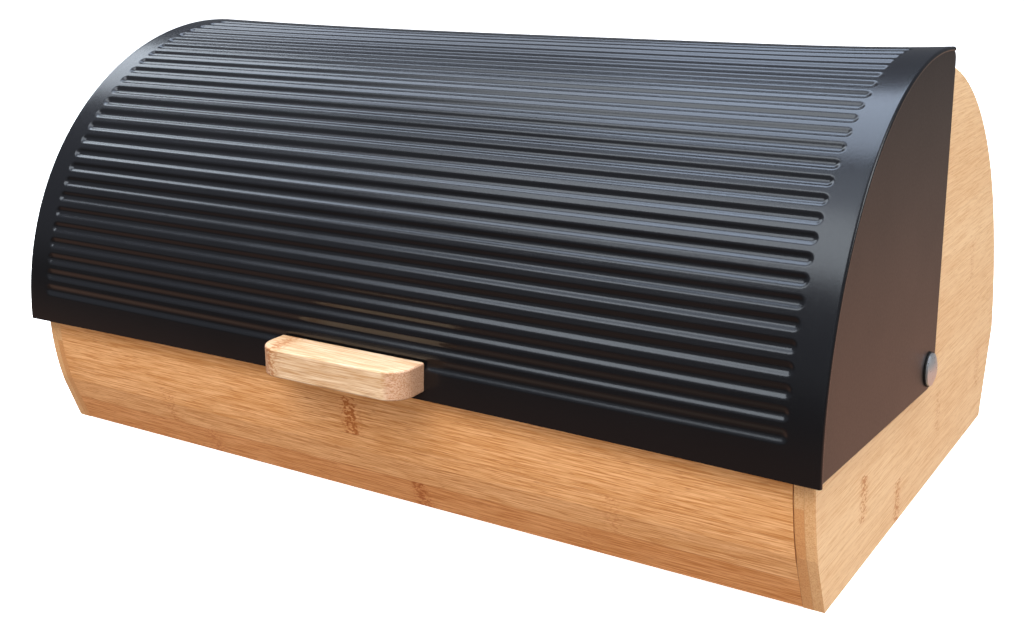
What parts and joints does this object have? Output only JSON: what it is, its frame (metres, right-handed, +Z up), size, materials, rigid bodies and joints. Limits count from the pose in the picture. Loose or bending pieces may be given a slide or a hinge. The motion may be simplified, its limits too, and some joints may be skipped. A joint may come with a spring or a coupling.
{
  "type": "bread box",
  "caption": "Bread box with bamboo base, front and rounded sides, a fixed curved steel back, and a grooved steel roll-top lid that turns up and over on two side pivots.",
  "frame": {"origin": "on the surface the box stands on, below the middle of the closed box with its handle; the pivot line is 10.3 mm behind it and 58.5 mm above", "axes": "+X along the pivot line to the right seen from the front, -Y towards the front and the handle, +Z up"},
  "size_m": [0.4042, 0.2794, 0.192],
  "materials": {
    "bamboo": "clear satin lacquer",
    "pale_bamboo": "clear satin lacquer",
    "black_steel": "satin black powder coat",
    "satin_steel": "satin",
    "zinc_steel": "bright zinc plate",
    "dowel_wood": "plain",
    "pad_rubber": "matt",
    "black_nylon": "matt"
  },
  "bodies": {
    "box": {"base_panel": "bamboo", "front_panel": "bamboo", "side_panel_left": "bamboo", "side_panel_right": "bamboo", "back_sheet": "black_steel", "back_screws": "zinc_steel", "base_screws": "zinc_steel", "base_dowels": "dowel_wood", "front_dowels": "dowel_wood", "anti_slip_pads": "pad_rubber", "pivot_bolt_left": "satin_steel", "pivot_bolt_right": "satin_steel", "head_washer_left": "black_nylon", "head_washer_right": "black_nylon", "spacer_washer_left": "black_nylon", "spacer_washer_right": "black_nylon", "nut_washer_left": "zinc_steel", "nut_washer_right": "zinc_steel", "cap_nut_left": "satin_steel", "cap_nut_right": "satin_steel"},
    "lid": {"lid_sheet": "black_steel", "lid_cheek_left": "black_steel", "lid_cheek_right": "black_steel", "handle": "pale_bamboo", "handle_screws": "zinc_steel"}
  },
  "joints": [
    {"name": "lid_roll", "type": "hinge", "parent": "box", "child": "lid", "pos_m": [0, 0.0103, 0.0585], "axis": [-1, 0, 0], "range_deg": [0, 95]}
  ]
}
